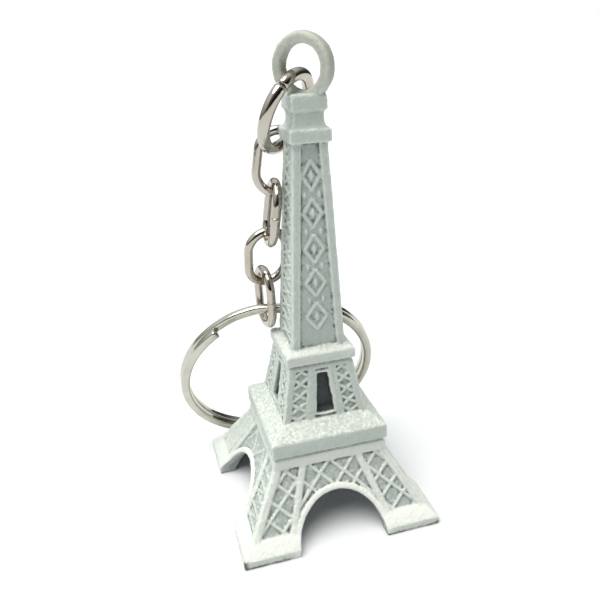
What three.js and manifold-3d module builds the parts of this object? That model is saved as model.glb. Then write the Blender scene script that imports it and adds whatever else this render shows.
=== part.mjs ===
// Lattice-tower souvenir keychain: a painted zinc casting, a jump ring,
// four wire chain links and a two-turn split ring.
// Millimetres, +Z up. The tower stands on its four feet and the chain hangs
// behind its back left corner, with the split ring leaning on the tower's back.

import * as THREE from 'three';
import { mergeVertices } from 'three/addons/utils/BufferGeometryUtils.js';
import Module from 'manifold-3d';

// ---------------------------------------------------------------- dimensions

// tower levels (height above the table) and half-widths of its square plan
const foot = { half: 11.4, height: 1.09, ledgeTop: 2.27, ledgeHalf: 10.17 };
const band = { bottom: 8.39, top: 9.78, bottomHalf: 6.74, topHalf: 6.5, legTopHalf: 6.6 };
const deck1 = { bottom: 9.91, edge: 11.5, half: 6.7 };
const stage2 = { bottom: 12.76, bottomHalf: 4.86, top: 19.37, topHalf: 3.62 };
const deck2 = { bottom: 19.37, edge: 20.5, top: 20.64, half: 3.91, softHalf: 3.75 };
const shaft = { bottom: 20.64, bottomHalf: 3.01, top: 42.7, topHalf: 1.82 };
const cap = {
  cornice: { bottom: 42.7, edge: 43.7, top: 43.96, half: 2.14 },
  cove: { low: 44.35, high: 45.5, lowHalf: 1.68, highHalf: 1.6 },
  block: { bottom: 45.85, edge: 47.02, top: 47.22, half: 1.82, softHalf: 1.68 },
};

// hanging eye cast on top of the tower, in the plane of the mould parting
const eye = { centreHeight: 49.52, outer: 3.2, inner: 2.06, thickness: 1.6 };

// openings of the casting
const arch = { halfWidth: 5.1, apex: 5.49 };
const hollow = { bottomHalf: 10.0, top: 8.7, topHalf: 5.35 };
const window2 = { bottom: 13.4, top: 18.2, bottomHalf: 1.2, topHalf: 0.7, depth: 1.6 };
const panel = { bottom: 21.4, top: 42.0, bottomHalf: 2.0, topHalf: 0.98, depth: 0.3 };

// rings and chain
const jump = { radius: 3.86, wire: 1.26, gap: 0.35, offset: 0.58, height: 48.87 };
jump.yaw = THREE.MathUtils.degToRad(135.8);
jump.tilt = THREE.MathUtils.degToRad(21.8);
const link = { length: 7.55, width: 5.3, wire: 1.0, seam: 0.12 };
const split = { radius: 12.5, radial: 1.12, coil: 0.86, gap: 0.04, corner: 0.2 };
split.centre = new THREE.Vector3(-2.3, 8.32, 12.05);
split.axis = new THREE.Vector3(0.045, 0.932, 0.358).normalize();
split.flat = { angle: 98, spread: 24, depth: 0.3 }; // the crossover stretch is pulled flat
split.crossover = { start: 82, length: 24 }; // degrees round the ring, where the wire steps over
split.frontEnd = 130; // where the front coil's cut end shows

// each link hangs from the middle of its top wire (x, y, z), its lower end is
// over (x, y), and its plane faces along yaw, in degrees
const hangs = [
  { top: [-1.69, 2.83, 43.4], end: [-2.75, 2.93], yaw: 85 },
  { top: [-2.69, 2.71, 38.07], end: [-3.68, 2.59], yaw: -2 },
  { top: [-3.8, 2.85, 32.79], end: [-3.81, 4.4], yaw: 97 },
  { top: [-4.19, 4.57, 27.77], end: [-4.13, 4.11], yaw: 7 },
];

const WIRE_SIDES = 10;

// ------------------------------------------------------------------- solids

const wasm = await Module();
wasm.setup();

// a closed geometry as a solid that can be joined and cut
function solid(source) {
  const bare = source.clone();
  bare.deleteAttribute('normal');
  bare.deleteAttribute('uv');
  const merged = mergeVertices(bare, 1e-5);
  const index = Array.from(merged.index.array);
  const triangles = [];
  for (let i = 0; i < index.length; i += 3) {
    const [a, b, c] = index.slice(i, i + 3);
    if (a !== b && b !== c && c !== a) triangles.push(a, b, c);
  }
  return new wasm.Manifold(new wasm.Mesh({
    numProp: 3,
    vertProperties: new Float32Array(merged.attributes.position.array),
    triVerts: new Uint32Array(triangles),
  }));
}

function geometryOf(body) {
  const mesh = body.getMesh();
  const geometry = new THREE.BufferGeometry();
  geometry.setAttribute('position', new THREE.BufferAttribute(mesh.vertProperties, 3));
  geometry.setIndex(new THREE.BufferAttribute(mesh.triVerts, 1));
  geometry.computeVertexNormals();
  return geometry;
}

// a tower-like solid of square plan from a list of [height, half-width]
function squareTurned(levels) {
  const corner = Math.SQRT2;
  const profile = [new THREE.Vector2(0, levels[0][0])];
  for (const [height, half] of levels) profile.push(new THREE.Vector2(half * corner, height));
  profile.push(new THREE.Vector2(0, levels[levels.length - 1][0]));
  const geometry = new THREE.LatheGeometry(profile, 4);
  geometry.rotateX(Math.PI / 2);
  geometry.rotateZ(Math.PI / 4);
  return solid(geometry);
}

// an outline drawn in X and Z, extruded from y = near to y = far
function slab(outline, near, far) {
  const geometry = new THREE.ExtrudeGeometry(outline, {
    depth: far - near,
    bevelEnabled: false,
    curveSegments: 14,
  });
  geometry.rotateX(Math.PI / 2);
  geometry.translate(0, far, 0);
  return geometry;
}

function trapezoid(bottom, top, bottomHalf, topHalf) {
  const outline = new THREE.Shape();
  outline.moveTo(-bottomHalf, bottom);
  outline.lineTo(bottomHalf, bottom);
  outline.lineTo(topHalf, top);
  outline.lineTo(-topHalf, top);
  outline.closePath();
  return outline;
}

// a straight bar of the given section, bent so that (x, y) of the section at
// the fraction t of the bar lands where place(x, y, t) says
function bentBar(section, steps, place) {
  const geometry = new THREE.ExtrudeGeometry(section, {
    depth: 1,
    steps,
    bevelEnabled: false,
    curveSegments: WIRE_SIDES / 2,
  });
  const position = geometry.attributes.position;
  for (let i = 0; i < position.count; i++) {
    const point = place(position.getX(i), position.getY(i), position.getZ(i));
    position.setXYZ(i, point.x, point.y, point.z);
  }
  geometry.computeVertexNormals();
  return geometry;
}

function wireSection(diameter) {
  const section = new THREE.Shape();
  section.absarc(0, 0, diameter / 2, 0, 2 * Math.PI, false);
  return section;
}

// ------------------------------------------------------------- tower casting

function towerOutside() {
  return squareTurned([
    [0, foot.half],
    [foot.height, foot.half],
    [foot.ledgeTop, foot.ledgeHalf],
    [band.bottom, band.legTopHalf],
    [band.bottom, band.bottomHalf],
    [band.top, band.topHalf],
    [deck1.bottom, band.topHalf],
    [deck1.bottom, deck1.half],
    [deck1.edge, deck1.half],
    [stage2.bottom, stage2.bottomHalf],
    [stage2.top, stage2.topHalf],
    [deck2.bottom, deck2.half],
    [deck2.edge, deck2.half],
    [deck2.top, deck2.softHalf],
    [shaft.bottom, shaft.bottomHalf],
    [shaft.top, shaft.topHalf],
    [cap.cornice.bottom, cap.cornice.half],
    [cap.cornice.edge, cap.cornice.half],
    [cap.cove.low, cap.cove.lowHalf],
    [cap.cove.high, cap.cove.highHalf],
    [cap.block.bottom, cap.block.half],
    [cap.block.edge, cap.block.half],
    [cap.block.top, cap.block.softHalf],
  ]);
}

function hangingEye() {
  const middle = (eye.outer + eye.inner) / 2;
  const halfRadial = (eye.outer - eye.inner) / 2;
  const section = [];
  for (let i = 0; i <= WIRE_SIDES; i++) {
    const turn = (2 * Math.PI * i) / WIRE_SIDES;
    section.push(new THREE.Vector2(
      middle + halfRadial * Math.cos(turn),
      (eye.thickness / 2) * Math.sin(turn),
    ));
  }
  const geometry = new THREE.LatheGeometry(section, 32);
  geometry.rotateZ(Math.PI / 2); // axis along X
  geometry.rotateZ(Math.PI / 4); // and across the diagonal
  geometry.translate(0, 0, eye.centreHeight);
  return solid(geometry);
}

// the arch under the first deck, open from front to back or from side to side
function archTunnel() {
  const outline = new THREE.Shape();
  outline.moveTo(arch.halfWidth, -1);
  outline.absellipse(0, 0, arch.halfWidth, arch.apex, 0, Math.PI, false);
  outline.lineTo(-arch.halfWidth, -1);
  outline.closePath();
  return slab(outline, -foot.half - 1, foot.half + 1);
}

// slope of a tapering stage, as the angle its face leans in from the vertical
function lean(stage) {
  return Math.atan2(stage.bottomHalf - stage.topHalf, stage.top - stage.bottom);
}

// a pocket cut into the front face of a stage, with its floor along the face
function facePocket(stage, outline, depth) {
  const cutter = slab(outline, -depth - 2, 0);
  cutter.translate(0, 2, -stage.bottom);
  cutter.rotateX(-lean(stage));
  cutter.translate(0, -stage.bottomHalf, stage.bottom);
  cutter.translate(0, depth - 2, 0);
  return cutter;
}

function towerCasting() {
  let body = towerOutside().add(hangingEye());
  body = body.subtract(squareTurned([
    [-1, hollow.bottomHalf],
    [hollow.top, hollow.topHalf],
  ]));
  const windowOutline = trapezoid(
    window2.bottom, window2.top, window2.bottomHalf, window2.topHalf);
  const panelOutline = trapezoid(panel.bottom, panel.top, panel.bottomHalf, panel.topHalf);
  for (let quarter = 0; quarter < 4; quarter++) {
    const turn = (quarter * Math.PI) / 2;
    if (quarter < 2) body = body.subtract(solid(archTunnel().rotateZ(turn)));
    const pocket = facePocket(stage2, windowOutline, window2.depth).rotateZ(turn);
    body = body.subtract(solid(pocket));
    if (quarter % 2 === 0) {
      const recess = facePocket(shaft, panelOutline, panel.depth).rotateZ(turn);
      body = body.subtract(solid(recess));
    }
  }
  return geometryOf(body);
}

// ----------------------------------------------------------- rings and links

// the jump ring hangs through the eye; its plane holds the level direction
// along the corner it hangs on and leans out from the tower by its tilt
function jumpRing() {
  const outward = new THREE.Vector3(Math.cos(jump.yaw), Math.sin(jump.yaw), 0);
  const level = new THREE.Vector3(-Math.sin(jump.yaw), Math.cos(jump.yaw), 0);
  const down = outward.clone().multiplyScalar(Math.sin(jump.tilt));
  down.z = -Math.cos(jump.tilt);
  const across = new THREE.Vector3().crossVectors(level, down);
  const centre = outward.clone().multiplyScalar(jump.offset);
  centre.z = jump.height;
  centre.addScaledVector(down, jump.radius);
  const opening = jump.gap / jump.radius;
  const seamAt = -Math.PI / 2 + 0.75; // beside the eye, where the ring was closed
  return bentBar(wireSection(jump.wire), 44, (x, y, t) => {
    const turn = seamAt + opening / 2 + t * (2 * Math.PI - opening);
    const out = level.clone().multiplyScalar(Math.cos(turn));
    out.addScaledVector(down, Math.sin(turn));
    return centre.clone()
      .addScaledVector(out, jump.radius + x)
      .addScaledVector(across, -y);
  });
}

// the middle line of an oval link, in its own plane: two straight limbs and
// two half-round ends, by distance round it from the middle of one limb
function ovalPoint(distance, radius, halfLimb) {
  const quarter = (Math.PI * radius) / 2;
  const lap = 4 * (halfLimb + quarter);
  const s = ((distance % lap) + lap) % lap;
  if (s < halfLimb) return { across: radius, along: s, turn: 0 };
  if (s < halfLimb + 2 * quarter) {
    const turn = (s - halfLimb) / radius;
    return {
      across: radius * Math.cos(turn),
      along: halfLimb + radius * Math.sin(turn),
      turn,
    };
  }
  if (s < 3 * halfLimb + 2 * quarter) {
    return { across: -radius, along: 2 * halfLimb + 2 * quarter - s, turn: Math.PI };
  }
  if (s < 3 * halfLimb + 4 * quarter) {
    const turn = Math.PI + (s - 3 * halfLimb - 2 * quarter) / radius;
    return {
      across: radius * Math.cos(turn),
      along: -halfLimb + radius * Math.sin(turn),
      turn,
    };
  }
  return { across: radius, along: s - lap, turn: 2 * Math.PI };
}

function chainLink(hang) {
  const radius = (link.width - link.wire) / 2;
  const middleLength = link.length - link.wire;
  const halfLimb = middleLength / 2 - radius;
  const lap = 4 * halfLimb + 2 * Math.PI * radius;
  const top = new THREE.Vector3(...hang.top);
  const shift = new THREE.Vector2(hang.end[0] - top.x, hang.end[1] - top.y);
  const drop = Math.sqrt(middleLength ** 2 - shift.lengthSq());
  const down = new THREE.Vector3(shift.x, shift.y, -drop).normalize();
  const yaw = THREE.MathUtils.degToRad(hang.yaw);
  const facing = new THREE.Vector3(Math.cos(yaw), Math.sin(yaw), 0);
  facing.addScaledVector(down, -facing.dot(down)).normalize();
  const across = new THREE.Vector3().crossVectors(down, facing);
  const centre = top.addScaledVector(down, middleLength / 2);
  return bentBar(wireSection(link.wire), 44, (x, y, t) => {
    const at = ovalPoint(link.seam / 2 + t * (lap - link.seam), radius, halfLimb);
    return centre.clone()
      .addScaledVector(across, at.across + x * Math.cos(at.turn))
      .addScaledVector(down, at.along + x * Math.sin(at.turn))
      .addScaledVector(facing, -y);
  });
}

// smooth step from 0 to 1
function ease(t) {
  const clamped = THREE.MathUtils.clamp(t, 0, 1);
  return clamped * clamped * (3 - 2 * clamped);
}

// a rectangle with its corners cut off, for rolled wire
function rolledSection(wide, high, corner) {
  const section = new THREE.Shape();
  const [x, y] = [wide / 2, high / 2];
  section.moveTo(x, y - corner);
  section.lineTo(x - corner, y);
  section.lineTo(corner - x, y);
  section.lineTo(-x, y - corner);
  section.lineTo(-x, corner - y);
  section.lineTo(corner - x, -y);
  section.lineTo(x - corner, -y);
  section.lineTo(x, corner - y);
  section.closePath();
  return section;
}

// two turns of rolled wire side by side: the wire starts on the front coil, goes
// nearly once round, steps over to the back coil and goes nearly once round
function splitRing() {
  const across = new THREE.Vector3().crossVectors(split.axis, new THREE.Vector3(0, 0, 1));
  across.normalize();
  const up = new THREE.Vector3().crossVectors(across, split.axis);
  const middle = split.radius - split.radial / 2;
  const pitch = split.coil + split.gap;
  const { start, length } = split.crossover;
  const clearance = 2; // degrees between the back coil's end and the crossover
  const from = split.frontEnd - 360;
  const to = start + 360 - clearance;
  const section = rolledSection(split.radial, split.coil, split.corner);
  return bentBar(section, 150, (x, y, t) => {
    const degrees = from + t * (to - from);
    const turn = THREE.MathUtils.degToRad(degrees);
    const side = ease((degrees - start) / length) - 0.5;
    const off = Math.abs(((degrees - split.flat.angle + 540) % 360) - 180);
    const pulled = off < split.flat.spread
      ? split.flat.depth * (0.5 + 0.5 * Math.cos((Math.PI * off) / split.flat.spread))
      : 0;
    const radius = middle - pulled + x;
    return split.centre.clone()
      .addScaledVector(across, radius * Math.cos(turn))
      .addScaledVector(up, radius * Math.sin(turn))
      .addScaledVector(split.axis, y + side * pitch);
  });
}

// ------------------------------------------------------------------ assembly

const paintedZinc = new THREE.MeshStandardMaterial({
  color: 0xdfe5e0, roughness: 0.55, metalness: 0.0,
});
const nickel = new THREE.MeshStandardMaterial({
  color: 0xb9b4ab, roughness: 0.22, metalness: 1.0,
});

const keychain = new THREE.Group();

function piece(name, geometry, material) {
  const mesh = new THREE.Mesh(geometry, material);
  mesh.name = name;
  keychain.add(mesh);
  return mesh;
}

piece('tower_casting', towerCasting(), paintedZinc);
piece('jump_ring', jumpRing(), nickel);
hangs.forEach((hang, i) => piece(`chain_link_${i + 1}`, chainLink(hang), nickel));
piece('split_ring', splitRing(), nickel);

// the origin is the middle of the whole object's plan, on the table
const bounds = new THREE.Box3().setFromObject(keychain);
const middle = bounds.getCenter(new THREE.Vector3());
keychain.position.set(-middle.x, -middle.y, -bounds.min.z);
keychain.updateMatrixWorld(true);

export default keychain;
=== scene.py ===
"""Lattice-tower souvenir keychain: a painted die casting on a jump ring, four links and a split ring.

Shapes are made in millimetres about the tower's own axis, then moved into the row frame in metres.
"""

import math

import bmesh
import bpy
import numpy as np
from mathutils import Matrix, Vector, kdtree, noise


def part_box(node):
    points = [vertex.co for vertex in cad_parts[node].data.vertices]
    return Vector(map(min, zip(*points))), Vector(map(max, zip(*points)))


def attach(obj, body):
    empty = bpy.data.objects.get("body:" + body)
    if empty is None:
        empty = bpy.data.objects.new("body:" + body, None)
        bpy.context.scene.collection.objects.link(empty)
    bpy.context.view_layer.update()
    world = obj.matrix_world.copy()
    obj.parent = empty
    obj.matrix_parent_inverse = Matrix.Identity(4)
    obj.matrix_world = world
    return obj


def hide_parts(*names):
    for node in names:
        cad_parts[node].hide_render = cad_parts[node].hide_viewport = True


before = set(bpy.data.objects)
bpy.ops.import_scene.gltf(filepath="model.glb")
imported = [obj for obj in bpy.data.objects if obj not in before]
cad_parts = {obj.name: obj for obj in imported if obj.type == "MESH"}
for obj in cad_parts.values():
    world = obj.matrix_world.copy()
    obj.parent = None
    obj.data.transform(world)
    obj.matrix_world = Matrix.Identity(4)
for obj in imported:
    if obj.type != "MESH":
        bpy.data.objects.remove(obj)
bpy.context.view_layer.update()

MM = 0.001
tower_low, tower_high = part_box("tower_casting")
AXIS = Vector(((tower_low.x + tower_high.x) / 2, (tower_low.y + tower_high.y) / 2, 0.0))


def in_frame(points_mm):
    """Points in millimetres about the tower's axis, as metres in the row frame."""
    return np.asarray(points_mm, float) * MM + np.array(AXIS)


# ----------------------------------------------------------------- camera

CAMERA_AZIMUTH = math.radians(-14.869)
CAMERA_ELEVATION = math.radians(24.198)
CAMERA_ROLL = math.radians(-2.197)
CAMERA_DISTANCE = 69.57
CAMERA_TARGET = Vector((0.0, 0.0, 23.61))
CAMERA_RIGHT, CAMERA_UP = -1.176, 1.492
CAMERA_LENS = 37.314


def make_camera():
    """A camera that looks at the target from the front left and above, slightly rolled."""
    back = Vector((
        math.sin(CAMERA_AZIMUTH) * math.cos(CAMERA_ELEVATION),
        -math.cos(CAMERA_AZIMUTH) * math.cos(CAMERA_ELEVATION),
        math.sin(CAMERA_ELEVATION),
    ))
    level = (-back).cross(Vector((0, 0, 1))).normalized()
    upright = level.cross(-back)
    right = level * math.cos(CAMERA_ROLL) + upright * math.sin(CAMERA_ROLL)
    up = upright * math.cos(CAMERA_ROLL) - level * math.sin(CAMERA_ROLL)
    place = CAMERA_TARGET + back * CAMERA_DISTANCE + right * CAMERA_RIGHT + up * CAMERA_UP
    data = bpy.data.cameras.new("camera")
    data.sensor_width = 36.0
    data.lens = CAMERA_LENS
    data.clip_start, data.clip_end = 0.002, 20.0
    camera = bpy.data.objects.new("camera", data)
    bpy.context.scene.collection.objects.link(camera)
    turn = Matrix((right, up, back)).transposed().to_4x4()
    camera.matrix_world = Matrix.Translation(place * MM + AXIS) @ turn
    bpy.context.scene.camera = camera


make_camera()

# ----------------------------------------------------------------- mesh tools


def mesh_object(name, verts, faces, smooth=True):
    """A new object with its faces turned outwards."""
    mesh = bpy.data.meshes.new(name)
    mesh.from_pydata([tuple(v) for v in verts], [], faces)
    mesh.validate()
    bm = bmesh.new()
    bm.from_mesh(mesh)
    bmesh.ops.recalc_face_normals(bm, faces=bm.faces)
    bm.to_mesh(mesh)
    bm.free()
    if smooth:
        mesh.polygons.foreach_set("use_smooth", [True] * len(mesh.polygons))
    obj = bpy.data.objects.new(name, mesh)
    bpy.context.scene.collection.objects.link(obj)
    return obj


def apply_modifiers(obj):
    """Replaces the object's mesh with the result of its modifiers."""
    bpy.context.view_layer.update()
    depsgraph = bpy.context.evaluated_depsgraph_get()
    done = bpy.data.meshes.new_from_object(obj.evaluated_get(depsgraph))
    old = obj.data
    obj.modifiers.clear()
    obj.data = done
    bpy.data.meshes.remove(old)


class Solids:
    """Closed solids gathered into one mesh; they may overlap, because the casting fuses them."""

    def __init__(self):
        self.verts = []
        self.faces = []

    def add(self, verts, faces):
        base = len(self.verts)
        self.verts.extend(tuple(v) for v in verts)
        self.faces.extend(tuple(base + i for i in face) for face in faces)

    def loft(self, rings):
        """Joins rings of as many points each, and caps both ends."""
        count = len(rings[0])
        verts = [p for ring in rings for p in ring]
        faces = []
        for r in range(len(rings) - 1):
            for i in range(count):
                j = (i + 1) % count
                a, b = r * count, (r + 1) * count
                faces.append((a + i, a + j, b + j, b + i))
        last = (len(rings) - 1) * count
        faces.append(tuple(reversed(range(count))))
        faces.append(tuple(range(last, last + count)))
        self.add(verts, faces)

    def square(self, levels):
        """A tower of square plan from (height, half-width) or (height, half x, half y)."""
        rings = []
        for level in levels:
            z, hx, hy = level if len(level) == 3 else (level[0], level[1], level[1])
            rings.append([(-hx, -hy, z), (hx, -hy, z), (hx, hy, z), (-hx, hy, z)])
        self.loft(rings)

    def object(self, name):
        return mesh_object(name, self.verts, self.faces, smooth=False)


class Stage:
    """One tapering stage of the tower, the same on four sides."""

    def __init__(self, z0, half0, z1, half1):
        self.z0, self.half0 = z0, half0
        self.slope = (half1 - half0) / (z1 - z0)
        self.lean = math.atan(-self.slope)

    def half(self, z):
        """Distance of the raised surface from the axis at height z."""
        return self.half0 + self.slope * (z - self.z0)

    def at(self, side, u, z, out=0.0):
        """The point u along and z up a face, standing out of it by out."""
        point = Vector((
            u,
            -(self.half(z) + out * math.cos(self.lean)),
            z + out * math.sin(self.lean),
        ))
        return Matrix.Rotation(side * math.pi / 2, 3, "Z") @ point


class Face:
    """One side of a stage, on which raised bars are added to the solids."""

    def __init__(self, solids, stage, side):
        self.solids, self.stage, self.side = solids, stage, side

    def strip(self, path, width, low, high, crown=0.62):
        """A bar along a path of (u, z), from depth low to height high; crown narrows its top."""
        path = [Vector(p) for p in path]
        widths = width if isinstance(width, (list, tuple)) else [width] * len(path)
        shoulder = high - 0.45 * min(high - low, 0.3)
        rings = []
        for i, p in enumerate(path):
            before, after = path[max(i - 1, 0)], path[min(i + 1, len(path) - 1)]
            along = (after - before).normalized()
            across = Vector((along.y, -along.x))
            w = widths[i] / 2
            profile = [(-w, low), (-w, shoulder), (-w * crown, high),
                       (w * crown, high), (w, shoulder), (w, low)]
            rings.append([
                self.stage.at(self.side, *(p + across * x), out=y) for x, y in profile
            ])
        self.solids.loft(rings)

    def border(self, heights, sign, inset, width, low, high, crown):
        """A bar up the face, inset from its left edge (sign -1) or its right edge (sign 1)."""
        path = [(sign * (self.stage.half(z) - inset), z) for z in heights]
        self.strip(path, width, low, high, crown)


def spaced(start, length, steps):
    """Evenly spaced values from start to start + length."""
    return [start + length * i / steps for i in range(steps + 1)]


def clipped(inside, start, end, samples=160):
    """The longest run of the line from start to end that lies inside, as (start, end)."""
    start, end = Vector(start), Vector(end)
    best, run = None, None
    for i in range(samples + 1):
        p = start.lerp(end, i / samples)
        if inside(p.x, p.y):
            run = (run[0], p) if run else (p, p)
            if best is None or (run[1] - run[0]).length > (best[1] - best[0]).length:
                best = run
        else:
            run = None
    return best


# ----------------------------------------------------------------- tower sizes

SIDES = FRONT, RIGHT, BACK, LEFT = range(4)
FOOT_HALF, FOOT_HEIGHT, LEDGE_Z, LEDGE_HALF = 11.4, 1.09, 2.27, 10.17
LEG = Stage(LEDGE_Z, LEDGE_HALF, 8.39, 6.6)
STAGE2 = Stage(12.76, 4.86, 19.37, 3.62)
SHAFT = Stage(20.64, 3.01, 42.7, 1.82)
BASE_TOP, BAND_TOP = 8.4, 9.45  # the band lies between the arches and the lower deck
WINDOW_STAGE = (13.0, 18.6)
UPPER_DECK = (19.3, 20.8)
CAP_LOW, CAP_TOP = 42.6, 47.2
ARCH_HALF, ARCH_APEX = 5.1, 5.49
ARCHIVOLT = 0.3  # distance of the archivolt's middle from the arch's edge
BAY_DEPTH = 0.34  # how far the floor of a lattice bay lies below the ribs
SHAFT_DEPTH = 0.3  # the same for the front and back of the shaft
PANEL_DEPTH = 0.22  # the same for the second stage and for the sides of the shaft
# the lozenges on the shaft: middle height, half-height and half-width
SHAFT_ORNAMENTS = ((39.5, 1.5, 0.95), (35.7, 1.5, 1.0), (31.95, 1.5, 1.05), (28.25, 1.5, 1.1),
                   (24.45, 1.55, 1.15))
EYE_Z, EYE_OUT, EYE_IN, EYE_THICK = 49.52, 3.2, 2.06, 1.6
EYE_SQUARENESS = 0.6  # 1 gives the eye a round section, 0 a square one


def arch_height(u, grow):
    """Height of the arch's edge at u, grown outwards by grow, or -1 beyond its ends."""
    a, b = ARCH_HALF + grow, ARCH_APEX + grow
    return b * math.sqrt(1 - (u / a) ** 2) if abs(u) < a else -1.0


def rib_at(z):
    """Distance of a leg's slanting rib from the middle of the face, at height z."""
    return 3.3 + (8.3 - z) * 0.37


def tower_core():
    """The smooth body under the relief, before it is cut."""
    core = Solids()
    # the feet and their sloping ledge
    core.square([(0, FOOT_HALF - 0.1), (0.12, FOOT_HALF), (FOOT_HEIGHT - 0.12, FOOT_HALF),
                 (FOOT_HEIGHT + 0.06, FOOT_HALF - 0.16), (LEDGE_Z, LEDGE_HALF - 0.05),
                 (LEDGE_Z + 0.1, LEDGE_HALF - 0.45)])
    # the base behind its lattice, and the band over the arches
    core.square([(1.9, LEG.half(1.9) - BAY_DEPTH), (9.0, LEG.half(9.0) - BAY_DEPTH)])
    core.square([(8.27, 6.64), (9.42, 6.5)])
    core.square([(8.6, 6.3), (10.0, 6.3)])
    core.square([(9.58, 6.44), (9.7, 6.44)])
    # the lower deck and the slope on top of it
    core.square([(9.86, 6.62), (9.96, 6.7), (11.52, 6.68), (11.68, 6.55), (12.95, 4.82)])
    # the second stage, its two top mouldings and the upper deck
    core.square([(z, STAGE2.half(z) - PANEL_DEPTH) for z in (12.3, 19.6)])
    core.square([(18.62, STAGE2.half(18.62)), (18.98, STAGE2.half(18.98)),
                 (19.02, STAGE2.half(19.02) - 0.07), (19.5, STAGE2.half(19.5) - 0.07)])
    core.square([(19.37, 3.86), (19.46, 3.91), (20.42, 3.9), (20.6, 3.78), (20.95, 2.95)])
    # the shaft, whose front and back lie deeper than its sides, and the cap
    core.square([(z, SHAFT.half(z) - PANEL_DEPTH, SHAFT.half(z) - SHAFT_DEPTH)
                 for z in (20.4, 43.0)])
    core.square([(42.7, 2.08), (42.76, 2.14), (43.84, 2.14), (43.94, 2.1), (44.16, 1.74),
                 (44.5, 1.6), (45.0, 1.54), (45.5, 1.57), (45.72, 1.78), (45.8, 1.82),
                 (47.02, 1.8), (47.18, 1.7), (47.24, 1.5)])
    return core.object("tower_core")


def cut(obj, cutter):
    """Cuts one object out of another and removes the cutter."""
    boolean = obj.modifiers.new("cut", "BOOLEAN")
    boolean.operation = "DIFFERENCE"
    boolean.solver = "EXACT"
    boolean.use_self = True
    boolean.object = cutter
    apply_modifiers(obj)
    bpy.data.objects.remove(cutter)


def cutters():
    """Everything that is hollow in the casting: the base, its arches and the windows."""
    hollow = Solids()
    hollow.square([(-1, 10.0), (8.7, 5.35)])
    yield hollow
    steps = 48
    edge = [(-ARCH_HALF, -1.0)]
    for i in range(steps + 1):
        turn = math.pi * (1 - i / steps)
        edge.append((ARCH_HALF * math.cos(turn), ARCH_APEX * math.sin(turn)))
    edge.append((ARCH_HALF, -1.0))
    for side in (FRONT, RIGHT):
        tunnel = Solids()
        turned = Matrix.Rotation(side * math.pi / 2, 3, "Z")
        tunnel.loft([[turned @ Vector((u, y, z)) for u, z in edge] for y in (-13, 13)])
        yield tunnel
    for side in SIDES:
        window = Solids()
        outline = window_outline(side)
        window.loft([[STAGE2.at(side, u, z, out) for u, z in outline] for out in (-1.6, 1.0)])
        yield window


def window_outline(side):
    """A tall trapezoid whose edges are ragged, as the paint and the metal left them."""
    top, bottom = 18.2, 13.42
    left_top, left_bottom, right_top, right_bottom = -0.62, -1.06, 0.74, 1.3
    height_steps, bottom_steps, top_steps = 22, 8, 6

    def ragged(amount, t, rate, seed):
        return amount * noise.noise(Vector((side * 7.0, t * rate, seed)))

    points = []
    for i in range(height_steps + 1):
        t = i / height_steps
        u = left_top + (left_bottom - left_top) * t + ragged(0.05, t, 9.0, 1.0)
        points.append((u, top + (bottom - top) * t))
    for i in range(1, bottom_steps):
        t = i / bottom_steps
        z = bottom - 0.1 * math.sin(math.pi * t) + ragged(0.09, t, 5.0, 4.0)
        points.append((left_bottom + (right_bottom - left_bottom) * t, z))
    for i in range(height_steps + 1):
        t = 1 - i / height_steps
        u = right_top + (right_bottom - right_top) * t + ragged(0.15, t, 7.0, 9.0)
        points.append((u, top + (bottom - top) * t))
    for i in range(1, top_steps):
        t = 1 - i / top_steps
        points.append((left_top + (right_top - left_top) * t, top + ragged(0.1, t, 6.0, 14.0)))
    return points


def archivolt():
    """The path of the moulding round an arch, from one foot ledge over to the other."""
    path = []
    steps = 48
    for i in range(steps + 1):
        turn = math.pi * i / steps
        u = (ARCH_HALF + ARCHIVOLT) * math.cos(turn)
        z = (ARCH_APEX + ARCHIVOLT) * math.sin(turn)
        if z > 1.7:
            path.append((u, z))
    return path


def left_bay(u, z):
    """Whether a point lies in the base's left lattice."""
    return -LEG.half(z) + 0.5 < u < -rib_at(z) + 0.1 and 2.0 < z < BASE_TOP


def right_bay(u, z):
    """Whether a point lies in the base's right lattice."""
    return rib_at(z) - 0.1 < u < LEG.half(z) - 0.65 and 2.0 < z < BASE_TOP


def middle_bay(u, z):
    """Whether a point lies in the lattice between the slanting ribs, over the arch."""
    return abs(u) < rib_at(z) + 0.1 and arch_height(u, 0.35) < z < BASE_TOP


def lattice(face, bay, middle, slope, rising, falling):
    """Crossed bars clipped to a bay, from the heights at which they pass u = middle."""
    reach = 6
    for tilt, heights in ((slope, rising), (-slope, falling)):
        for z in heights:
            run = clipped(bay, (middle - reach, z - reach * tilt),
                          (middle + reach, z + reach * tilt))
            if run:
                face.strip(run, 0.36, -0.6, -0.1, crown=0.45)


def leg_relief(solids, side):
    """Border ribs, slanting ribs, the archivolt and the lattice of one face of the base."""
    face = Face(solids, LEG, side)
    zs = spaced(2.1, 6.3, 8)
    face.border(zs, -1, 0.42, 0.84, -0.9, 0.0, crown=0.75)
    face.border(zs, 1, 0.17, 0.34, -0.9, 0.0, crown=0.8)
    face.border(zs, 1, 0.72, 0.3, -0.9, -0.02, crown=0.7)
    for sign in (-1, 1):
        face.strip([(sign * rib_at(z), z) for z in zs], 0.8, -0.7, 0.0)
    face.strip(archivolt(), 0.62, -0.7, 0.03, crown=0.6)
    if side == LEFT:
        worn_bays(face)
        return
    lattice(face, left_bay, -5.35, 0.88, (8.0, 6.05, 3.72), (8.15, 6.05, 3.75, 1.55, -0.9))
    lattice(face, right_bay, 6.4, 0.88, (9.1, 6.95, 4.8, 2.62, 0.3), (7.3, 5.05, 2.3))
    lattice(face, middle_bay, 0.0, 0.92, (8.58, 5.85, 3.7), (5.95, 8.3, 3.6))


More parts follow.
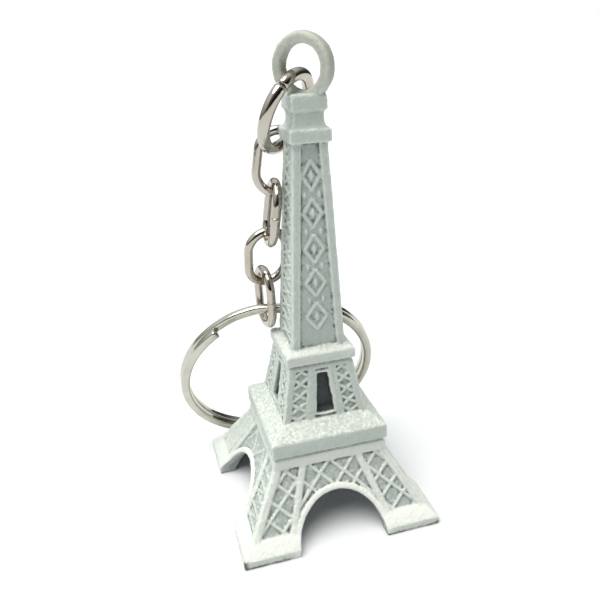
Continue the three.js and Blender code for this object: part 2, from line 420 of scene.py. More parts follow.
def worn_bays(face):
    """The left face, where the mould was worn: rungs on the front leg and little else."""
    for z in (2.75, 3.85, 4.95, 6.05, 7.15):
        face.strip([(rib_at(z) + 0.2, z + 0.1), (LEG.half(z) - 0.7, z - 0.05)],
                   0.3, -0.6, -0.16, crown=0.5)
    for z in (3.3, 5.5):
        face.strip([(rib_at(z) + 0.2, z - 0.5), (LEG.half(z) - 0.7, z + 0.6)],
                   0.28, -0.6, -0.18, crown=0.5)
    middle = [(-(rib_at(z) + LEG.half(z)) / 2, z) for z in (2.1, 5.0, 8.3)]
    face.strip(middle, [3.2, 2.9, 2.4], -0.8, -0.1, crown=0.9)
    for u, tilt in ((-2.6, 1.1), (-1.0, -0.9), (0.9, 0.8), (2.4, -1.0)):
        face.strip([(u - 0.8, 7.0 - tilt), (u + 0.8, 7.0 + tilt)], 0.34, -0.6, -0.18, crown=0.5)


def pilaster(z, sign):
    """Where the middle of the pilaster beside the window lies at height z."""
    t = (18.4 - z) / 5.2
    return sign * (1.1 + 0.6 * t) + (0.08 if sign > 0 else 0.0)


def crossed_bars(face, sign):
    """The column of crosses between a pilaster and its corner post, with a tent on top."""
    top, pitch, crosses = 18.5, 1.36, 4

    def column(z):
        inner, outer = abs(pilaster(z, sign)) + 0.38, STAGE2.half(z) - 0.5
        return sign * (inner + outer) / 2, (outer - inner) / 2 + 0.05

    def bar(path):
        face.strip(path, 0.33, -0.5, -0.03, crown=0.5)

    for i in range(crosses):
        high, low = top - pitch * i, top - pitch * (i + 1)
        for ends in (((-1, high), (1, low)), ((-1, low), (1, high))):
            path = []
            for end, z in ends:
                middle, half = column(z)
                path.append((middle + end * half, z - pitch / 2))
            bar(path)
    middle, half = column(top + pitch / 2)
    for end in (-1, 1):
        bar([(middle, top), (middle + end * half, top - pitch / 2)])


def stage2_relief(solids, side):
    """Corner posts, pilasters, window lip and the two columns of crossed bars."""
    face = Face(solids, STAGE2, side)
    low, top, height = 12.7, 18.8, 6.1
    zs = spaced(low, height, 6)
    face.border(zs, -1, 0.27, 0.54, -0.8, 0.0, crown=0.8)
    face.border(zs, 1, 0.12, 0.24, -0.8, 0.0, crown=0.8)
    face.border(zs, 1, 0.55, 0.22, -0.8, -0.02, crown=0.8)
    lip = window_outline(side)
    face.strip(lip + lip[:1], 0.2, -0.5, 0.0, crown=0.6)
    face.strip([(pilaster(z, -1), z) for z in zs],
               [0.82 + 0.36 * (top - z) / height for z in zs], -0.7, 0.02, crown=0.8)
    face.strip([(pilaster(z, 1) - 0.2, z) for z in zs], 0.42, -0.7, 0.02)
    face.strip([(pilaster(z, 1) + 0.28, z) for z in zs],
               [0.42 + 0.1 * (top - z) / height for z in zs], -0.7, 0.0)
    for sign in (-1, 1):
        crossed_bars(face, sign)


def ornament(face, z, half_high, half_wide):
    """A raised lozenge frame round a small boss, standing in for the shaft's relief."""
    stroke, low, high = 0.4, -SHAFT_DEPTH - 0.3, -0.13
    corners = [(0, half_high), (half_wide, 0), (0, -half_high), (-half_wide, 0), (0, half_high)]
    for a, b in zip(corners, corners[1:]):
        face.strip([(a[0], z + a[1]), (b[0], z + b[1])], stroke, low, high)
    face.strip([(0, z - 0.42), (0, z), (0, z + 0.42)], [0.12, 0.62, 0.12], low, high)


def shaft_relief(solids, side):
    """Borders up the shaft, with lozenges on the front and back and crossed bars at the sides."""
    face = Face(solids, SHAFT, side)
    zs = spaced(20.6, 22.3, 12)
    if side in (FRONT, BACK):
        face.border(zs, -1, 0.17, 0.36, -0.9, 0.0, crown=0.7)
        face.border(zs, -1, 0.47, [0.34 + 0.14 * (42.7 - z) / 22 for z in zs], -0.9, -0.07,
                    crown=0.85)
        face.border(zs, 1, 0.12, 0.25, -0.9, 0.0, crown=0.7)
        face.border(zs, 1, 0.57, 0.26, -0.9, -0.02, crown=0.6)
        for place in SHAFT_ORNAMENTS:
            ornament(face, *place)
        # a pair of small studs between each lozenge and the next
        for (z, high, _), (below, low, _) in zip(SHAFT_ORNAMENTS, SHAFT_ORNAMENTS[1:]):
            middle = (z - high + below + low) / 2
            for u in (-0.78, 0.78):
                face.strip([(u, middle - 0.3), (u, middle), (u, middle + 0.3)],
                           [0.1, 0.42, 0.1], -SHAFT_DEPTH - 0.3, -0.14)
        if side == FRONT:
            # a burr at the foot of the right border
            face.strip([(2.1, 21.0), (2.55, 21.15)], 0.3, -0.6, 0.06)
        return
    for sign in (-1, 1):
        face.border(zs, sign, 0.21, 0.42, -0.9, 0.0, crown=0.75)
    start, pitch, crosses = 19.6, 1.55, 15
    for i in range(crosses):
        low = start + pitch * i
        for ends in (((-1, low), (1, low + pitch)), ((-1, low + pitch), (1, low))):
            path = [(end * (SHAFT.half(z) - 0.35), z) for end, z in ends]
            face.strip(path, 0.34, -0.6, -0.05, crown=0.5)


def hanging_eye(solids):
    """The cast ring on top, in the mould's parting plane, with its foot sunk in the block."""
    middle, half = (EYE_OUT + EYE_IN) / 2, (EYE_OUT - EYE_IN) / 2
    steps, sides = 64, 14
    turned = Matrix.Rotation(math.pi / 4, 3, "Z")
    verts, faces = [], []
    for i in range(steps):
        turn = 2 * math.pi * i / steps
        swell = 0.965 + 0.035 * noise.noise(Vector((math.cos(turn) * 2, math.sin(turn) * 2, 3.0)))
        for k in range(sides):
            angle = 2 * math.pi * k / sides
            c, s = math.cos(angle), math.sin(angle)
            x = half * swell * math.copysign(abs(c) ** EYE_SQUARENESS, c)
            y = EYE_THICK / 2 * swell * math.copysign(abs(s) ** EYE_SQUARENESS, s)
            r = middle + x
            verts.append(turned @ Vector((y, r * math.cos(turn), EYE_Z + r * math.sin(turn))))
    for i in range(steps):
        for k in range(sides):
            a, b = i * sides, ((i + 1) % steps) * sides
            n = (k + 1) % sides
            faces.append((a + k, a + n, b + n, b + k))
    solids.add(verts, faces)
    base = []
    for z, along, across in ((46.9, 1.55, 0.72), (47.35, 1.0, 0.6)):
        base.append([
            turned @ Vector((x, y, z))
            for x, y in ((-across, -along), (across, -along), (across, along), (-across, along))
        ])
    solids.loft(base)


VOXEL = 0.095
OWN_SHARE, NEIGHBOUR_SHARE = 0.45, 0.55  # of a vertex's place, when the casting is softened
HOLLOW_REACH = 0.35  # how far round a point its surroundings are looked at
TOWER_TRIANGLES = 186000


def make_tower():
    """The casting: its core cut hollow, with the relief and the eye fused onto it."""
    tower = tower_core()
    for cutter in cutters():
        cut(tower, cutter.object("cutter"))
    relief = Solids()
    for side in SIDES:
        leg_relief(relief, side)
        stage2_relief(relief, side)
        shaft_relief(relief, side)
    hanging_eye(relief)
    added = relief.object("relief")
    bm = bmesh.new()
    bm.from_mesh(tower.data)
    bm.from_mesh(added.data)
    bm.to_mesh(tower.data)
    bm.free()
    bpy.data.objects.remove(added)
    remesh = tower.modifiers.new("fuse", "REMESH")
    remesh.mode = "VOXEL"
    remesh.voxel_size = VOXEL
    apply_modifiers(tower)
    return tower


def neighbour_mean(mesh, values):
    """Each vertex's mean of the values at the vertices that its edges reach."""
    edges = np.empty(len(mesh.edges) * 2, np.int32)
    mesh.edges.foreach_get("vertices", edges)
    a, b = edges.reshape(-1, 2).T
    count = len(mesh.vertices)
    degree = np.maximum(np.bincount(a, minlength=count) + np.bincount(b, minlength=count), 1)
    flat = values.reshape(count, -1)
    out = np.empty_like(flat)
    for k in range(flat.shape[1]):
        total = np.bincount(a, flat[b, k], count) + np.bincount(b, flat[a, k], count)
        out[:, k] = total / degree
    return out.reshape(values.shape)


def vertex_values(mesh, name):
    """The vertices' places (co) or outward directions (normal), one row each."""
    values = np.empty(len(mesh.vertices) * 3)
    mesh.vertices.foreach_get(name, values)
    return values.reshape(-1, 3)


def place_vertices(mesh, co):
    """Moves the mesh's vertices to new places."""
    mesh.vertices.foreach_set("co", co.ravel())
    mesh.update()


def set_attribute(mesh, name, values):
    """Stores one number for each vertex, for the materials to read."""
    layer = mesh.attributes.new(name, "FLOAT", "POINT")
    layer.data.foreach_set("value", np.asarray(values, np.float32))


def noise_at(points, scale, seed):
    """Smooth noise at each point; every seed gives another pattern."""
    shift = Vector((seed * 17.3, seed * 5.1, seed * 11.7))
    return np.array([noise.noise(Vector(p) * scale + shift) for p in points])


def smoothed(mesh, values, times):
    """The values after so many rounds of taking the mean of the neighbours."""
    for _ in range(times):
        values = neighbour_mean(mesh, values)
    return values


def rise(values, start, width):
    """0 up to start and 1 beyond start + width, with a straight rise between."""
    return np.clip((values - start) / width, 0, 1)


def within(values, low, high):
    """Whether each value lies between low and high."""
    return (values > low) & (values < high)


# the outline that the relief is measured from: (height, half-width of the raised surface)
OUTLINE = (
    (0, FOOT_HALF), (FOOT_HEIGHT, FOOT_HALF), (LEDGE_Z, LEDGE_HALF), (8.2, 6.69), (8.28, 6.63),
    (9.42, 6.5), (9.86, 6.6), (11.6, 6.66), (12.85, 4.86), (19.37, 3.62), (19.4, 3.91),
    (20.5, 3.91), (20.9, 3.0), (42.7, 1.82), (42.8, 2.14), (43.98, 2.14), (44.3, 1.75),
    (45.6, 1.7), (45.75, 1.82), (47.2, 1.82), (53, 1.82),
)


def hollowness(mesh, co, out):
    """How hollow the surroundings of each point are, near it and further off."""
    near = int(round(HOLLOW_REACH / VOXEL))
    far = near * 6
    nearby = smoothed(mesh, co, near)
    hollow = neighbour_mean(mesh, np.einsum("ij,ij->i", nearby - co, out))
    hollow_wide = np.einsum("ij,ij->i", smoothed(mesh, nearby, far - near) - co, out)
    return np.clip(hollow / 0.035, -1, 1), np.clip(hollow_wide / 0.12, -1, 1)


def depths(co):
    """How far each point is inside the casting, in a recess of the relief and in a window."""
    z = co[:, 2]
    heights, halves = zip(*OUTLINE)
    depth = np.interp(z, heights, halves) - np.maximum(np.abs(co[:, 0]), np.abs(co[:, 1]))
    inside = rise(depth, 0.9, 0.4) * (z < 20)
    recess = rise(depth, 0.06, BAY_DEPTH - 0.08) * (1 - inside)
    recess *= np.select([z > CAP_LOW, z > UPPER_DECK[1]], [0.0, 0.46], 1.0)
    window = rise(depth, 0.5, 0.15) * within(z, *WINDOW_STAGE)
    return inside, recess, window


def painted_highlight_mask(co, out, level, left):
    """Where a painted highlight lightens the paint: the foot ledges and other upward faces, the
    archivolts, the band, the upper deck and, less, the base; all of it is weakened on faces turned to
    the left.
    """
    z = co[:, 2]
    painted_highlight = 0.36 * level + 0.64 * level * (z < 3) + (0.3 + 0.1 * left) * (z < BASE_TOP)
    # painted highlight: the band is lightened where the lower deck's overhang shades it
    painted_highlight += 0.55 * within(z, BASE_TOP, BAND_TOP) + 0.22 * within(z, *UPPER_DECK)
    for along, out_of in ((0, 1), (1, 0)):
        spread = np.hypot(co[:, along] / (ARCH_HALF + ARCHIVOLT), z / (ARCH_APEX + ARCHIVOLT))
        on_face = np.abs(co[:, out_of]) > LEG.half(z) - 0.25
        painted_highlight += 0.55 * (np.abs(spread - 1.0) < 0.055) * on_face * (z < 7)
    return np.clip(painted_highlight, 0, 1) * (1 - 0.35 * np.clip(-out[:, 0] * 1.3, 0, 1))


def rubbed_feet_and_contact_shade(co, inside):
    """Where the feet's outer corners may be rubbed down to the dark metal, and a painted contact
    shadow along the lowest edge all round.
    """
    z = co[:, 2]
    corner = np.hypot(FOOT_HALF - np.abs(co[:, 0]), FOOT_HALF - np.abs(co[:, 1]))
    wear_and_contact_shade = np.clip((0.5 - corner) / 0.3, 0, 1) * (z < FOOT_HEIGHT)
    # the painted contact shadow along the lowest edge all round joins the rubbed corners
    return np.maximum(wear_and_contact_shade, np.clip((0.34 - z) / 0.14, 0, 1)) * (1 - inside)


def lumpy(co, out, rough, recess):
    """The places raised by lumps of thick paint, with the standing edge left flat on the floor."""
    z = co[:, 2]
    lumps = 0.035 * noise_at(co, 0.9, 1) + (0.014 + 0.085 * rough) * noise_at(co, 2.9, 2)
    lumps *= rise(z, 0, 0.3) * (1 - 0.5 * (recess > 0.5) * (z > 21))
    raised = co + out * lumps[:, None]
    raised[:, 2] = np.maximum(raised[:, 2], 0.0)
    raised[z < 0.06, 2] = 0.0
    return raised


def finish_tower(tower):
    """Softens the fused casting, roughens it, thins its mesh and stores what the paint needs."""
    mesh = tower.data
    co = vertex_values(mesh, "co")
    co = co * OWN_SHARE + neighbour_mean(mesh, co) * NEIGHBOUR_SHARE
    place_vertices(mesh, co)
    out = vertex_values(mesh, "normal")
    hollow, hollow_wide = hollowness(mesh, co, out)
    inside, recess, window = depths(co)
    level = rise(out[:, 2], 0.35, 0.4) * within(co[:, 2], 0.8, 44)
    left = rise(-out[:, 0], 0.6, 0.3) * (1 - inside)
    on_eye = rise(co[:, 2], CAP_TOP, 0.4)
    # rougher where the paint pooled on level surfaces, on the left face and on the eye
    rough = np.clip(0.14 + (0.2 + 0.5 * (co[:, 2] > 3)) * level + 0.3 * left + 0.1 * on_eye, 0, 1)
    attributes = {
        "recess": recess, "inside": inside, "window": window, "hollow": hollow,
        "rough": rough, "hollow_wide": hollow_wide, "painted_highlight": painted_highlight_mask(co, out, level, left),
        "on_eye": on_eye, "wear_and_contact_shade": rubbed_feet_and_contact_shade(co, inside),
    }
    co = lumpy(co, out, rough, recess)
    place_vertices(mesh, co)
    tree = kdtree.KDTree(len(co))
    for i, point in enumerate(co):
        tree.insert(point, i)
    tree.balance()

    thin = tower.modifiers.new("thin", "DECIMATE")
    thin.ratio = min(1.0, TOWER_TRIANGLES / (2 * len(mesh.polygons)))
    apply_modifiers(tower)
    mesh = tower.data
    co = vertex_values(mesh, "co")
    nearest = np.array([tree.find(point)[1] for point in co])
    for name, values in attributes.items():
        set_attribute(mesh, name, values[nearest])
    mesh.polygons.foreach_set("use_smooth", [True] * len(mesh.polygons))
    place_vertices(mesh, in_frame(co))


tower = make_tower()
finish_tower(tower)
tower.name = "tower_painted"

# ----------------------------------------------------------------- wires

JUMP_RADIUS, JUMP_WIRE, JUMP_GAP = 3.86, 1.26, 0.35
JUMP_YAW, JUMP_TILT = math.radians(135.8), math.radians(21.8)
JUMP_OFFSET, JUMP_TOP = 0.58, 48.87
JUMP_SEAM = 0.75  # how far past the top the cut lies, in radians
LINK_LENGTH, LINK_WIDTH, LINK_WIRE, LINK_SEAM = 7.55, 5.3, 1.0, 0.03
SPLIT_RADIUS, SPLIT_RADIAL, SPLIT_COIL, SPLIT_GAP = 12.5, 1.12, 0.88, 0.02
SPLIT_CENTRE = Vector((-2.3, 8.32, 12.05))
SPLIT_AXIS = Vector((0.045, 0.932, 0.358)).normalized()
SPLIT_FLAT_AT, SPLIT_FLAT_SPREAD, SPLIT_FLAT_DEPTH = 98.0, 24.0, 0.3
SPLIT_CORNER = 0.3
SPLIT_CROSS_START, SPLIT_CROSS_LENGTH, SPLIT_END_GAP, SPLIT_FRONT_END = 82.0, 24.0, 2.0, 130.0

# each link: middle of its top wire, where its lower end lies, and the way its plane faces
LINKS = (
    ((-1.69, 2.83, 43.4), (-2.75, 2.93), 85.0),
    ((-2.69, 2.71, 38.07), (-3.68, 2.59), -2.0),
    ((-3.8, 2.85, 32.79), (-3.81, 4.4), 97.0),
    ((-4.19, 4.57, 27.77), (-4.13, 4.11), 7.0),
)


def round_section(diameter, sides):
    """The outline of a round wire."""
    r = diameter / 2
    return [(r * math.cos(2 * math.pi * k / sides), r * math.sin(2 * math.pi * k / sides))
            for k in range(sides)]


def flat_section(wide, high, corner, per_corner):
    """A rectangle with round corners, for rolled wire."""
    points = []
    for cx, cy, start in ((1, 1, 0), (-1, 1, 90), (-1, -1, 180), (1, -1, 270)):
        for k in range(per_corner + 1):
            turn = math.radians(start + 90 * k / per_corner)
            points.append((cx * (wide / 2 - corner) + corner * math.cos(turn),
                           cy * (high / 2 - corner) + corner * math.sin(turn)))
    return points


def wire_object(name, section, places, end_round):
    """A wire swept through (centre, across, over) places, with its cut ends slightly rounded."""

    def tip(place, beyond):
        centre, across, over = place
        step = (centre - beyond[0]).normalized() * end_round
        return centre + step, across * 0.8, over * 0.8

    wire = Solids()
    wire.loft([
        [centre + across * x + over * y for x, y in section]
        for centre, across, over in (tip(*places[:2]), *places, tip(places[-1], places[-2]))
    ])
    return mesh_object(name, in_frame(wire.verts), wire.faces)


def make_jump_ring():
    """A round ring hanging from JUMP_TOP, cut through beside its top."""
    outward = Vector((math.cos(JUMP_YAW), math.sin(JUMP_YAW), 0))
    level = Vector((-math.sin(JUMP_YAW), math.cos(JUMP_YAW), 0))
    down = outward * math.sin(JUMP_TILT) + Vector((0, 0, -math.cos(JUMP_TILT)))
    across = level.cross(down)
    centre = outward * JUMP_OFFSET + Vector((0, 0, JUMP_TOP)) + down * JUMP_RADIUS
    opening = JUMP_GAP / JUMP_RADIUS
    seam = -math.pi / 2 + JUMP_SEAM
    places = []
    steps = 150
    for i in range(steps + 1):
        turn = seam + opening / 2 + i / steps * (2 * math.pi - opening)
        out = level * math.cos(turn) + down * math.sin(turn)
        places.append((centre + out * JUMP_RADIUS, out, -across))
    return wire_object("jump_ring_wire", round_section(JUMP_WIRE, 24), places, 0.04)


def oval_place(distance, radius, limb):
    """Across, along and the turn of the outward direction, by distance round a link's middle line."""
    quarter = math.pi * radius / 2
    if distance < limb:
        return radius, distance, 0.0
    if distance < limb + 2 * quarter:
        turn = (distance - limb) / radius
        return radius * math.cos(turn), limb + radius * math.sin(turn), turn
    if distance < 3 * limb + 2 * quarter:
        return -radius, 2 * limb + 2 * quarter - distance, math.pi
    if distance < 3 * limb + 4 * quarter:
        turn = math.pi + (distance - 3 * limb - 2 * quarter) / radius
        return radius * math.cos(turn), -limb + radius * math.sin(turn), turn
    return radius, distance - (4 * limb + 4 * quarter), 2 * math.pi


def make_link(index, top, end, yaw):
    """An oval link hanging from top towards end, with its bending seam in one limb."""
    radius = (LINK_WIDTH - LINK_WIRE) / 2
    middle = LINK_LENGTH - LINK_WIRE
    limb = middle / 2 - radius
    lap = 4 * limb + 2 * math.pi * radius
    top = Vector(top)
    shift = Vector((end[0] - top.x, end[1] - top.y))
    drop = math.sqrt(middle ** 2 - shift.length_squared)
    down = Vector((shift.x, shift.y, -drop)).normalized()
    facing = Vector((math.cos(math.radians(yaw)), math.sin(math.radians(yaw)), 0))
    facing = (facing - down * facing.dot(down)).normalized()
    across = down.cross(facing)
    centre = top + down * (middle / 2)
    places = []
    steps = 128
    for i in range(steps + 1):
        distance = LINK_SEAM / 2 + i / steps * (lap - LINK_SEAM)
        x, y, turn = oval_place(distance, radius, limb)
        out = across * math.cos(turn) + down * math.sin(turn)
        places.append((centre + across * x + down * y, out, -facing))
    return wire_object(f"chain_link_{index}_wire", round_section(LINK_WIRE, 20), places, 0.01)


def make_split_ring():
    """Nearly two turns of rolled wire, pressed a little inwards where the coil steps over."""
    across = SPLIT_AXIS.cross(Vector((0, 0, 1))).normalized()
    up = across.cross(SPLIT_AXIS)
    middle = SPLIT_RADIUS - SPLIT_RADIAL / 2
    pitch = SPLIT_COIL + SPLIT_GAP
    first = SPLIT_FRONT_END - 360
    last = SPLIT_CROSS_START + 360 - SPLIT_END_GAP
    places = []
    steps = 460
    for i in range(steps + 1):
        degrees = first + (last - first) * i / steps
        turn = math.radians(degrees)
        t = min(max((degrees - SPLIT_CROSS_START) / SPLIT_CROSS_LENGTH, 0), 1)
        side = t * t * (3 - 2 * t) - 0.5
        off = abs((degrees - SPLIT_FLAT_AT + 540) % 360 - 180)
        pulled = 0.0
        if off < SPLIT_FLAT_SPREAD:
            pulled = SPLIT_FLAT_DEPTH * (0.5 + 0.5 * math.cos(math.pi * off / SPLIT_FLAT_SPREAD))
        out = across * math.cos(turn) + up * math.sin(turn)
        centre = SPLIT_CENTRE + out * (middle - pulled) + SPLIT_AXIS * (side * pitch)
        places.append((centre, out, SPLIT_AXIS))
    section = flat_section(SPLIT_RADIAL, SPLIT_COIL, SPLIT_CORNER, 6)
    return wire_object("split_ring_wire", section, places, 0.05)


jump_ring = make_jump_ring()
links = [make_link(i + 1, *link) for i, link in enumerate(LINKS)]
split_ring = make_split_ring()

# ----------------------------------------------------------------- materials


class Nodes:
    """Short ways to add and join shader nodes."""

    def __init__(self, name):
        self.material = bpy.data.materials.new(name)
        self.material.use_nodes = True
        self.tree = self.material.node_tree
        self.tree.nodes.clear()

    def add(self, kind, **values):
        node = self.tree.nodes.new(kind)
        for key, value in values.items():
            setattr(node, key, value)
        return node

    def join(self, source, target):
        self.tree.links.new(source, target)

    def attribute(self, name):
        return self.add("ShaderNodeAttribute", attribute_name=name).outputs["Fac"]

    def noise(self, scale, detail, rough=0.55):
        node = self.add("ShaderNodeTexNoise")
        self.join(self.object_coordinates(), node.inputs["Vector"])
        node.inputs["Scale"].default_value = scale
        node.inputs["Detail"].default_value = detail
        node.inputs["Roughness"].default_value = rough
        return node.outputs["Fac"]

    def object_coordinates(self):
        if not hasattr(self, "_coordinates"):
            self._coordinates = self.add("ShaderNodeTexCoord").outputs["Object"]
        return self._coordinates

    def ramp(self, source, low, high, start=0.0, end=1.0):
        node = self.add("ShaderNodeMapRange", clamp=True)
        self.join(source, node.inputs["Value"])
        node.inputs["From Min"].default_value = low
        node.inputs["From Max"].default_value = high
        node.inputs["To Min"].default_value = start
        node.inputs["To Max"].default_value = end
        return node.outputs["Result"]

    def times(self, a, b):
        node = self.add("ShaderNodeMath", operation="MULTIPLY")
        for socket, value in zip(node.inputs, (a, b)):
            if isinstance(value, (int, float)):
                socket.default_value = value
            else:
                self.join(value, socket)
        return node.outputs["Value"]

    def mix(self, factor, a, b):
        node = self.add("ShaderNodeMix", data_type="RGBA")
        self.join(factor, node.inputs["Factor"])
        colours = [s for s in node.inputs if s.type == "RGBA"]
        for socket, value in zip(colours, (a, b)):
            if isinstance(value, tuple):
                socket.default_value = (*value, 1.0)
            else:
                self.join(value, socket)
        return [s for s in node.outputs if s.type == "RGBA"][0]

    def bump(self, shader, height, strength, distance):
        node = self.add("ShaderNodeBump")
        node.inputs["Strength"].default_value = strength
        node.inputs["Distance"].default_value = distance
        self.join(height, node.inputs["Height"])
        self.join(node.outputs["Normal"], shader.inputs["Normal"])

    def finish(self, shader):
        output = self.add("ShaderNodeOutputMaterial")
        self.join(shader.outputs["BSDF"], output.inputs["Surface"])
        return self.material


# the paint's own clouded colours, and what is laid over them: wear, grain, painted shade and painted
# highlights
PAINT_DIM, PAINT_BRIGHT = (0.485, 0.55, 0.505), (0.53, 0.59, 0.545)
PAINT_MOTTLE = (0.58, 0.63, 0.58)
GRAIN_DARK, GRAIN_PALE = (0.36, 0.40, 0.37), (0.86, 0.88, 0.84)
# painted highlights: the first on ledges, upward faces and the band, the second along convex rims
PAINTED_HIGHLIGHT_PALE, RIM_HIGHLIGHT = (0.86, 0.88, 0.83), (0.80, 0.83, 0.78)
# painted shade: the recess, broad-hollow, crease, inside and window colours, and the contact shadow
# in the rubbed-metal colour; recess and hollow colours also stand for thinner paint, the crease
# colour for bare metal
RECESS_SHADE_AND_THIN_PAINT, THIN_PAINT_AND_SHADE, EYE_GREY = (0.33, 0.38, 0.365), (0.30, 0.335, 0.32), (0.44, 0.465, 0.40)
PIT_METAL_AND_SHADE, CHIP_GREY, RUBBED_METAL_AND_CONTACT_SHADE = (0.11, 0.125, 0.12), (0.30, 0.33, 0.31), (0.11, 0.11, 0.10)
INSIDE_SHADE, WINDOW_SHADE = (0.20, 0.21, 0.23), (0.10, 0.118, 0.125)


def painted_zinc():
    """Thick soft white paint: clouded, grainy and worn in places, with painted shade in the recesses,
    hollows, creases and hollow base, and painted highlights on ledges and rims.
    """
    n = Nodes("soft_white_paint")
    shader = n.add("ShaderNodeBsdfPrincipled")
    hollow, rough = n.attribute("hollow"), n.attribute("rough")
    grain = n.noise(3300, 3.0, 0.6)
    cloud = n.ramp(n.noise(160, 3.0), 0.35, 0.65)
    mottle = n.ramp(n.noise(1500, 4.0), 0.36, 0.64)
    # how hollow the wide surroundings are, for painted shade in broad hollows
    thin = n.ramp(n.attribute("hollow_wide"), 0.2, 0.9)
    ragged = n.ramp(n.noise(1900, 3.0), 0.42, 0.58)
    chips = n.ramp(n.noise(1300, 4.0), 0.70, 0.73)
    foot_patches = n.ramp(n.noise(700, 4.0), 0.40, 0.58)
    colour = n.mix(cloud, PAINT_DIM, PAINT_BRIGHT)
    for amount, over in (
        (n.times(mottle, 0.4), PAINT_MOTTLE),
        (n.times(n.ramp(grain, 0.5, 0.36), rough), GRAIN_DARK),
        # painted highlight: lighter paint on ledges, upward faces, archivolts, the band and the base
        (n.attribute("painted_highlight"), PAINTED_HIGHLIGHT_PALE),
        # painted shade and thinner paint on the floors of the relief's recesses
        (n.times(n.attribute("recess"), 0.82), RECESS_SHADE_AND_THIN_PAINT),
        # painted shade in broad hollows and under overhangs, with thinner paint
        (n.times(thin, 0.35), THIN_PAINT_AND_SHADE),
        (n.times(n.ramp(grain, 0.52, 0.66), rough), GRAIN_PALE),
        (n.attribute("on_eye"), EYE_GREY),
        # painted highlight along convex rims and edges
        (n.times(n.ramp(hollow, -0.2, -0.8), 0.5), RIM_HIGHLIGHT),
        # dark specks of bare metal and painted shade in concave creases along the relief
        (n.times(ragged, n.ramp(hollow, 0.22, 0.75, 0.0, 0.95)), PIT_METAL_AND_SHADE),
        (n.times(chips, 0.5), CHIP_GREY),
        # painted shade deep inside the hollow base and under the decks
        (n.times(n.attribute("inside"), 0.75), INSIDE_SHADE),
        # painted shade filling the window pockets, as if they were deep and unlit
        (n.attribute("window"), WINDOW_SHADE),
        # rubbed dark metal on the feet's corners and a painted contact shadow along their lowest edge
        (n.times(foot_patches, n.attribute("wear_and_contact_shade")), RUBBED_METAL_AND_CONTACT_SHADE),
    ):
        colour = n.mix(amount, colour, over)
    n.join(colour, shader.inputs["Base Color"])
    n.join(n.ramp(n.noise(1500, 3.0), 0.3, 0.7, 0.42, 0.62), shader.inputs["Roughness"])
    shader.inputs["Specular IOR Level"].default_value = 0.45
    n.bump(shader, grain, 1.0, 0.00011)
    return n.finish(shader)


def nickel(name, colour, rough_low, rough_high):
    """Bright plating with a faint warm tarnish."""
    n = Nodes(name)
    shader = n.add("ShaderNodeBsdfPrincipled")
    shader.inputs["Metallic"].default_value = 1.0
    tarnish = n.ramp(n.noise(420, 4.0), 0.42, 0.72)
    warm = tuple(c * f for c, f in zip(colour, (0.78, 0.72, 0.64)))
    n.join(n.mix(n.times(tarnish, 0.6), colour, warm), shader.inputs["Base Color"])
    n.join(n.ramp(n.noise(1300, 4.0), 0.35, 0.7, rough_low, rough_high),
           shader.inputs["Roughness"])
    n.bump(shader, n.noise(1900, 3.0), 0.3, 0.00004)
    return n.finish(shader)


paint = painted_zinc()
wire_metal = nickel("bright_nickel_wire", (0.51, 0.47, 0.42), 0.07, 0.17)
ring_metal = nickel("split_ring_nickel", (0.56, 0.545, 0.485), 0.12, 0.24)


def dress(obj, material, body, node):
    """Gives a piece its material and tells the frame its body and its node."""
    obj.data.materials.clear()
    obj.data.materials.append(material)
    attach(obj, body)
    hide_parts(node)


dress(tower, paint, "tower_casting", "tower_casting")
dress(jump_ring, wire_metal, "jump_ring", "jump_ring")
for i, link in enumerate(links):
    dress(link, wire_metal, f"chain_link_{i + 1}", f"chain_link_{i + 1}")
dress(split_ring, ring_metal, "split_ring", "split_ring")

# ----------------------------------------------------------------- floor and light


def make_floor():
    """A plain white board to stand on."""
    bm = bmesh.new()
    bmesh.ops.create_circle(bm, cap_ends=True, segments=96, radius=4.0)
    mesh = bpy.data.meshes.new("floor")
    bm.to_mesh(mesh)
    bm.free()
    floor = bpy.data.objects.new("floor", mesh)
    bpy.context.scene.collection.objects.link(floor)
    n = Nodes("white_board")
    shader = n.add("ShaderNodeBsdfPrincipled")
    shader.inputs["Base Color"].default_value = (0.79, 0.805, 0.835, 1)
    shader.inputs["Roughness"].default_value = 0.7
    shader.inputs["Specular IOR Level"].default_value = 0.2
    floor.data.materials.append(n.finish(shader))


SUN_FROM = Vector((-0.24, -0.12, 0.92)).normalized()
BRIGHT_SIDE = Vector((-0.25, 0.15, 0.95)).normalized()
DARK_SIDE = Vector((0.12, -0.93, 0.33)).normalized()


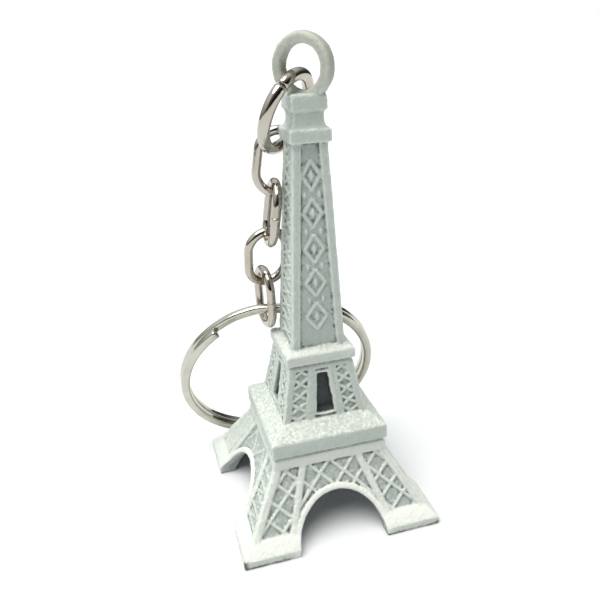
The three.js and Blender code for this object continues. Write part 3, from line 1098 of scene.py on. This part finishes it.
def make_sun():
    """A broad soft light from above and a little to the left."""
    data = bpy.data.lights.new("overhead_key", "SUN")
    data.energy = 3.0
    data.angle = math.radians(50)
    data.color = (1.0, 0.975, 0.925)
    light = bpy.data.objects.new("overhead_key", data)
    light.rotation_euler = (-SUN_FROM).to_track_quat("-Z", "Y").to_euler()
    bpy.context.scene.collection.objects.link(light)


def make_world():
    """A light tent, brightest above and behind on the left and dark in front."""
    world = bpy.data.worlds.new("light_tent")
    world.use_nodes = True
    tree = world.node_tree
    tree.nodes.clear()
    direction = tree.nodes.new("ShaderNodeTexCoord").outputs["Generated"]

    def graded(towards, low, high, dark, bright):
        dot = tree.nodes.new("ShaderNodeVectorMath")
        dot.operation = "DOT_PRODUCT"
        dot.inputs[1].default_value = towards
        tree.links.new(direction, dot.inputs[0])
        spread = tree.nodes.new("ShaderNodeMapRange")
        spread.inputs["From Min"].default_value = low
        spread.inputs["From Max"].default_value = high
        spread.inputs["To Min"].default_value = dark
        spread.inputs["To Max"].default_value = bright
        spread.interpolation_type = "SMOOTHSTEP"
        tree.links.new(dot.outputs["Value"], spread.inputs["Value"])
        return spread.outputs["Result"]

    both = tree.nodes.new("ShaderNodeMath")
    both.operation = "MULTIPLY"
    tree.links.new(graded(BRIGHT_SIDE, 0.1, 0.8, 0.04, 0.95), both.inputs[0])
    tree.links.new(graded(DARK_SIDE, 0.35, 0.8, 1.0, 0.2), both.inputs[1])
    tent = tree.nodes.new("ShaderNodeBackground")
    tent.inputs["Color"].default_value = (0.945, 1.0, 0.985, 1)
    tree.links.new(both.outputs["Value"], tent.inputs["Strength"])
    plain = tree.nodes.new("ShaderNodeBackground")
    plain.inputs["Color"].default_value = (1, 1, 1, 1)
    choose = tree.nodes.new("ShaderNodeMixShader")
    seen = tree.nodes.new("ShaderNodeLightPath").outputs["Is Camera Ray"]
    tree.links.new(seen, choose.inputs["Fac"])
    tree.links.new(tent.outputs["Background"], choose.inputs[1])
    tree.links.new(plain.outputs["Background"], choose.inputs[2])
    output = tree.nodes.new("ShaderNodeOutputWorld")
    tree.links.new(choose.outputs["Shader"], output.inputs["Surface"])
    bpy.context.scene.world = world


make_floor()
make_world()
make_sun()

scene = bpy.context.scene
scene.view_settings.view_transform = "Standard"
scene.view_settings.look = "None"
scene.view_settings.exposure = 0.0
